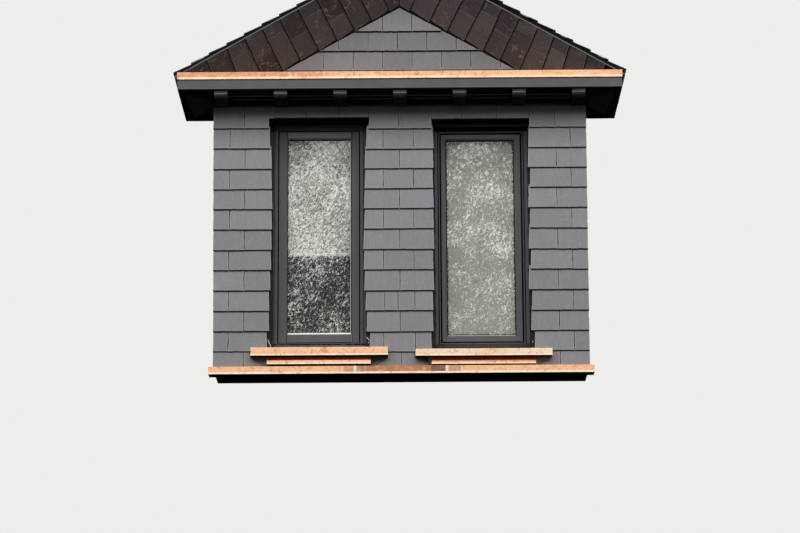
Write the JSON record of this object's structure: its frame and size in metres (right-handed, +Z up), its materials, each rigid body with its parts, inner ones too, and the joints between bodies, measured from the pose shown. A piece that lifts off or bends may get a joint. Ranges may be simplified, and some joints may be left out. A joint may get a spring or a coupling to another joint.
{
  "type": "dormer window",
  "caption": "Slate-hung wall dormer with paired windows, a slated gable roof with splayed verge, bracketed eaves and copper-clad ledges and sills, cut off along the roof slope behind",
  "frame": {"origin": "centre of the underside of the sole plate at the outer face of the wall boarding", "axes": "+X right seen from outside, +Y into the building, +Z up"},
  "size_m": [3.066, 1.0799, 2.9477],
  "materials": {
    "slate": "riven matt",
    "brown_slate": "riven matt",
    "dark_paint": "satin paint",
    "timber": "sawn",
    "copper": "bright rolled copper, a little dulled",
    "plaster": "matt plaster",
    "glass": "clear",
    "blind_cloth": "woven"
  },
  "bodies": {
    "root": {"sole_plate": "timber", "front_wall": "plaster", "gable_wall": "timber", "left_cheek": "plaster", "right_cheek": "plaster", "ceiling": "plaster", "ridge_board": "timber", "left_rafters": "timber", "right_rafters": "timber", "left_deck": "timber", "right_deck": "timber", "left_splay_boards": "timber", "right_splay_boards": "timber", "left_roof_slates": "slate", "right_roof_slates": "slate", "left_splay_slates": "brown_slate", "right_splay_slates": "brown_slate", "gable_slates": "slate", "wall_slates": "slate", "left_cheek_slates": "slate", "right_cheek_slates": "slate", "ridge_cap": "copper", "left_valley": "copper", "right_valley": "copper", "front_soffit": "dark_paint", "front_fascia": "dark_paint", "left_eave": "dark_paint", "right_eave": "dark_paint", "ledge_core": "timber", "ledge_copper": "copper", "bed_mould": "dark_paint", "brackets": "dark_paint", "foot_ledge": "copper", "window_linings": "dark_paint", "left_frame": "dark_paint", "right_frame": "dark_paint", "left_sash": "dark_paint", "right_sash": "dark_paint", "left_glass": "glass", "right_glass": "glass", "left_blind": "blind_cloth", "right_blind": "blind_cloth", "left_sill": "copper", "right_sill": "copper"}
  },
  "joints": []
}
